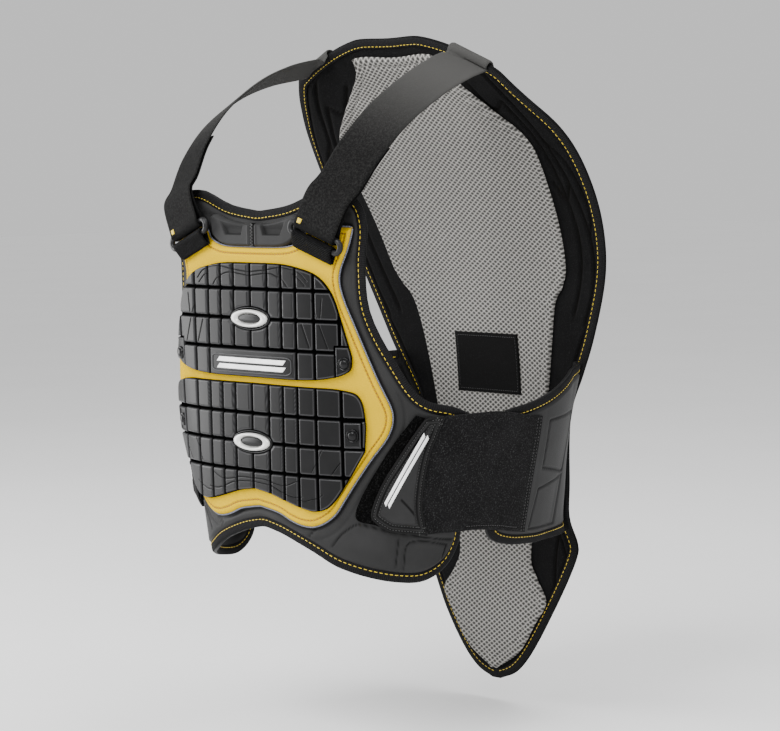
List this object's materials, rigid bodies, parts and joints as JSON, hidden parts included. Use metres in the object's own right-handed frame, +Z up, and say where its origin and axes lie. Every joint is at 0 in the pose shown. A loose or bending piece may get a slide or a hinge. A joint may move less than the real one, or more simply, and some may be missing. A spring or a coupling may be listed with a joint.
{
  "type": "back and chest protector",
  "caption": "Wearable back and chest protector with padded shells, a raised chest cover with ribbed hard plates, shoulder straps and a wide waist belt.",
  "frame": {"origin": "midway between the two shoulder straps, at the height where they rest on the shoulders", "axes": "+X towards the wearer's left, -Y towards the front, +Z up"},
  "size_m": [0.3452, 0.3205, 0.6031],
  "materials": {
    "foam": "matte moulded foam, dark grey",
    "neoprene": "quilted cloth over foam, near black",
    "mesh": "open spacer mesh, warm light grey",
    "tape": "ribbed edge tape, dark grey",
    "label": "plain woven patch, black",
    "cover": "fine woven cloth, yellow",
    "plate": "semi-gloss moulded plastic, near black",
    "silver": "satin silver rim round a dark oval",
    "webbing": "twill webbing, dark grey",
    "ring": "satin moulded plastic, black",
    "elastic": "fine grained elastic cloth, black"
  },
  "bodies": {
    "root": {"back_panel": "neoprene", "back_lining": "mesh", "back_tape": "tape", "back_label": "label", "front_panel": "foam", "front_tape": "tape", "chest_cover": "cover", "neck_pad_left": "foam", "neck_pad_right": "foam", "chest_plate_upper": "plate", "chest_plate_lower": "plate", "badge_upper": "silver", "badge_lower": "silver", "nameplate": "plate", "stud_upper_left": "plate", "stud_upper_right": "plate", "stud_lower_left": "plate", "stud_lower_right": "plate", "shoulder_strap_left": "webbing", "shoulder_strap_right": "webbing", "strap_ring_left": "ring", "strap_ring_right": "ring", "strap_anchor_left": "webbing", "strap_anchor_right": "webbing", "hook_patch_left": "elastic", "hook_patch_right": "elastic", "belt_tab_left": "foam", "belt_tab_right": "foam", "belt_elastic_left": "elastic", "belt_elastic_right": "elastic", "side_panel_left": "foam", "side_panel_right": "foam", "side_tape_left": "tape", "side_tape_right": "tape"}
  },
  "joints": []
}
